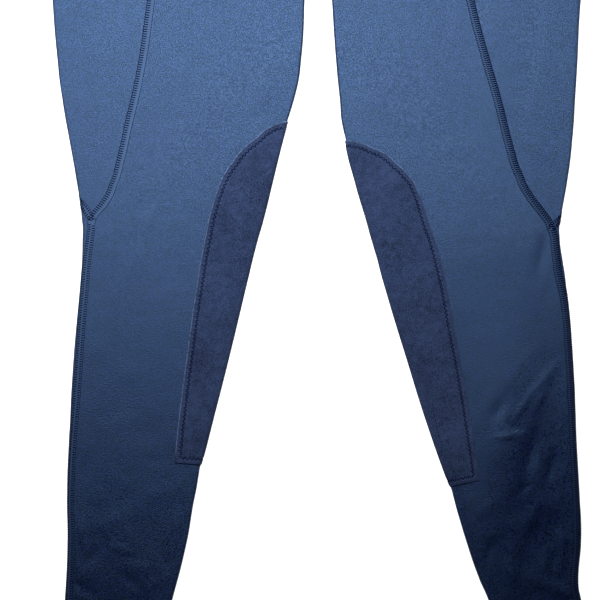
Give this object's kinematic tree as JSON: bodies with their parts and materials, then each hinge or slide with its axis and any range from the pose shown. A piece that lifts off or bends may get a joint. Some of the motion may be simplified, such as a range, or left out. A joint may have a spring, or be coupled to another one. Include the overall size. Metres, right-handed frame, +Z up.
{
  "type": "riding breeches",
  "caption": "Stretch jersey riding breeches laid flat, front side up, with curved side panels and suede patches over the inner knees.",
  "frame": {"origin": "on the table under the middle of the whole garment", "axes": "+Y from the hems to the waist, +X to the right in a view of the front, +Z up from the table, out of the front layer"},
  "size_m": [0.5034, 0.983, 0.007],
  "materials": {
    "jersey": "matte brushed stretch jersey with a fine mottled knit",
    "suede": "matte synthetic suede with a short soft nap",
    "waistband": "the same jersey, double, with elastic inside"
  },
  "bodies": {
    "root": {"front_left": "jersey", "front_right": "jersey", "side_left": "jersey", "side_right": "jersey", "back_left": "jersey", "back_right": "jersey", "knee_patch_left": "suede", "knee_patch_right": "suede", "waistband_front": "waistband", "waistband_back": "waistband"}
  },
  "joints": []
}
